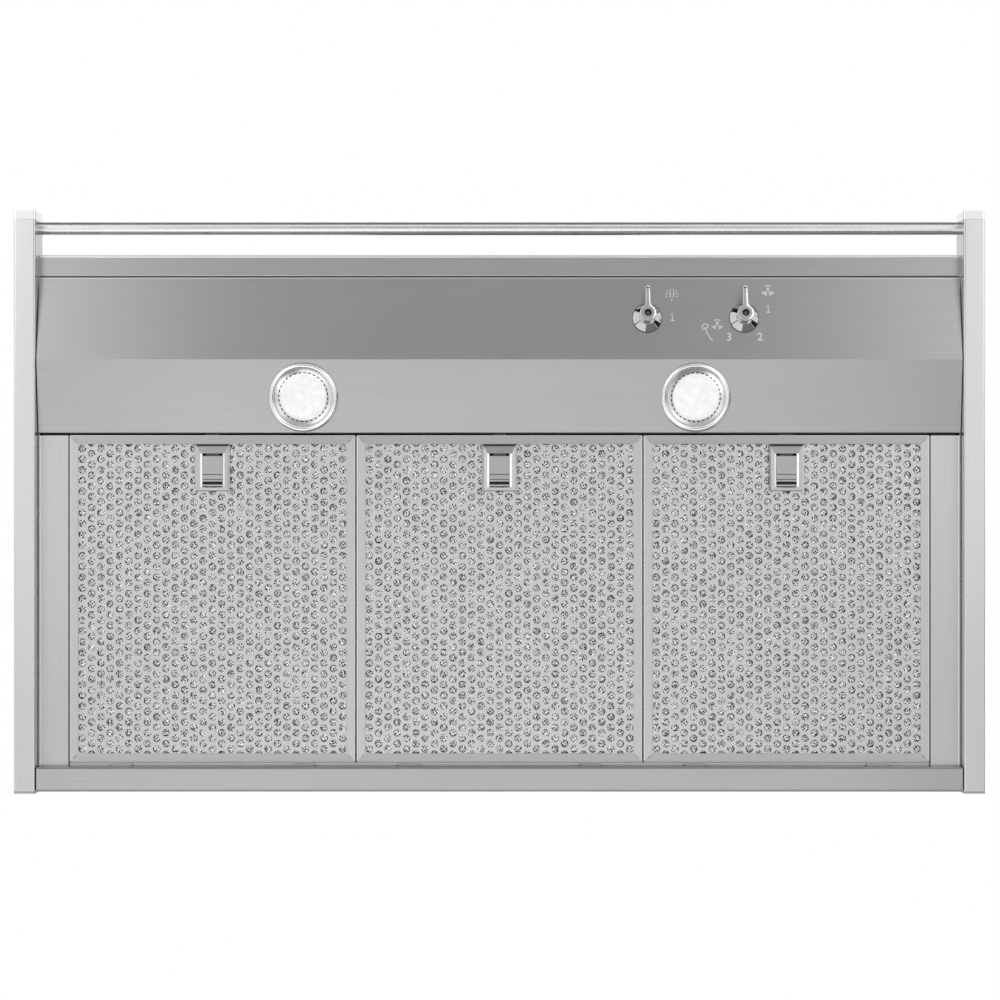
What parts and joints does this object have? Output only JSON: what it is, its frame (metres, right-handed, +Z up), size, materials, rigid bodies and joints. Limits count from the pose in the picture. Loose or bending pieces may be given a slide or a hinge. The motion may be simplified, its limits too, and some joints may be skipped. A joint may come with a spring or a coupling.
{
  "type": "wall mount range hood",
  "caption": "Wall mount chimney range hood in stainless steel with side bars, a front rail, swing-down grease filters, round lamps, lever knobs and a telescoping chimney.",
  "frame": {"origin": "on the wall plane, in the middle of the hood's width, level with the side bars' centre line", "axes": "+X to the right of somebody facing the hood, +Y into the wall, +Z up"},
  "size_m": [0.9, 0.54, 0.7009],
  "materials": {
    "brushed_steel": "brushed",
    "polished_steel": "polished",
    "galvanised_steel": "satin",
    "filter_aluminium": "satin",
    "grey_plastic": "satin",
    "spring_steel": "satin",
    "lamp_glass": "frosted",
    "bulb": "frosted, lit",
    "painted_steel": "satin",
    "black_plastic": "matte"
  },
  "bodies": {
    "hood": {"side_bar_left": "brushed_steel", "side_bar_right": "brushed_steel", "bar_caps": "polished_steel", "rear_caps": "black_plastic", "front_rail": "polished_steel", "canopy_shell": "brushed_steel", "back_panel": "galvanised_steel", "underside_panel": "brushed_steel", "side_infill_left": "brushed_steel", "side_infill_right": "brushed_steel", "rear_bar": "brushed_steel", "lamp_bezels": "polished_steel", "lamp_glasses": "lamp_glass", "lamp_bulbs": "bulb", "lamp_cans": "galvanised_steel", "knob_rosettes": "polished_steel", "light_switch": "black_plastic", "fan_switch": "black_plastic", "blower_box": "galvanised_steel", "scroll_housing": "black_plastic", "motor": "painted_steel", "motor_bracket": "galvanised_steel", "duct_collar": "black_plastic", "chimney_lower": "brushed_steel", "terminal_box": "black_plastic", "cable_gland": "black_plastic"},
    "filter_left": {"filter_left_frame": "filter_aluminium", "filter_left_sheets": "filter_aluminium", "filter_left_mesh": "filter_aluminium", "filter_left_latch_plate": "grey_plastic", "filter_left_latch_spring": "spring_steel"},
    "latch_left": {"filter_left_latch_slide": "grey_plastic"},
    "filter_center": {"filter_center_frame": "filter_aluminium", "filter_center_sheets": "filter_aluminium", "filter_center_mesh": "filter_aluminium", "filter_center_latch_plate": "grey_plastic", "filter_center_latch_spring": "spring_steel"},
    "latch_center": {"filter_center_latch_slide": "grey_plastic"},
    "filter_right": {"filter_right_frame": "filter_aluminium", "filter_right_sheets": "filter_aluminium", "filter_right_mesh": "filter_aluminium", "filter_right_latch_plate": "grey_plastic", "filter_right_latch_spring": "spring_steel"},
    "latch_right": {"filter_right_latch_slide": "grey_plastic"},
    "light_knob": {"light_knob": "polished_steel", "light_spindle": "polished_steel"},
    "fan_knob": {"fan_knob": "polished_steel", "fan_spindle": "polished_steel"},
    "impeller": {"impeller": "galvanised_steel", "motor_shaft": "polished_steel"},
    "damper_front": {"damper_flap_front": "black_plastic"},
    "damper_rear": {"damper_flap_rear": "black_plastic"},
    "chimney_upper": {"chimney_upper": "brushed_steel", "ceiling_bracket": "galvanised_steel"}
  },
  "joints": [
    {"name": "light_knob_turn", "type": "hinge", "parent": "hood", "child": "light_knob", "pos_m": [0.1372, -0.441, -0.00975], "axis": [0, 0.2095, 0.9778], "range_deg": [0, 90]},
    {"name": "fan_knob_turn", "type": "hinge", "parent": "hood", "child": "fan_knob", "pos_m": [0.2274, -0.441, -0.00975], "axis": [0, 0.2095, 0.9778], "range_deg": [0, 216]},
    {"name": "filter_left_swing", "type": "hinge", "parent": "hood", "child": "filter_left", "pos_m": [-0.2674, -0.0242, -0.005], "axis": [1, 0, 0], "range_deg": [0, 50]},
    {"name": "latch_left_slide", "type": "slide", "parent": "filter_left", "child": "latch_left", "axis": [0, 1, 0], "range_m": [0, 0.0034], "stiffness_N_per_m": 400, "springref_m": -0.004},
    {"name": "filter_center_swing", "type": "hinge", "parent": "hood", "child": "filter_center", "pos_m": [0, -0.0242, -0.005], "axis": [1, 0, 0], "range_deg": [0, 50]},
    {"name": "latch_center_slide", "type": "slide", "parent": "filter_center", "child": "latch_center", "axis": [0, 1, 0], "range_m": [0, 0.0034], "stiffness_N_per_m": 400, "springref_m": -0.004},
    {"name": "filter_right_swing", "type": "hinge", "parent": "hood", "child": "filter_right", "pos_m": [0.2674, -0.0242, -0.005], "axis": [1, 0, 0], "range_deg": [0, 50]},
    {"name": "latch_right_slide", "type": "slide", "parent": "filter_right", "child": "latch_right", "axis": [0, 1, 0], "range_m": [0, 0.0034], "stiffness_N_per_m": 400, "springref_m": -0.004},
    {"name": "impeller_spin", "type": "hinge", "parent": "hood", "child": "impeller", "pos_m": [0, -0.13, 0.335], "axis": [1, 0, 0], "continuous": true},
    {"name": "damper_front_swing", "type": "hinge", "parent": "hood", "child": "damper_front", "pos_m": [0, -0.14, 0.512], "axis": [-1, 0, 0], "range_deg": [0, 80]},
    {"name": "damper_rear_swing", "type": "hinge", "parent": "hood", "child": "damper_rear", "pos_m": [0, -0.14, 0.512], "axis": [1, 0, 0], "range_deg": [0, 80]},
    {"name": "chimney_slide", "type": "slide", "parent": "hood", "child": "chimney_upper", "axis": [0, 0, 1], "range_m": [0, 0.25]}
  ]
}
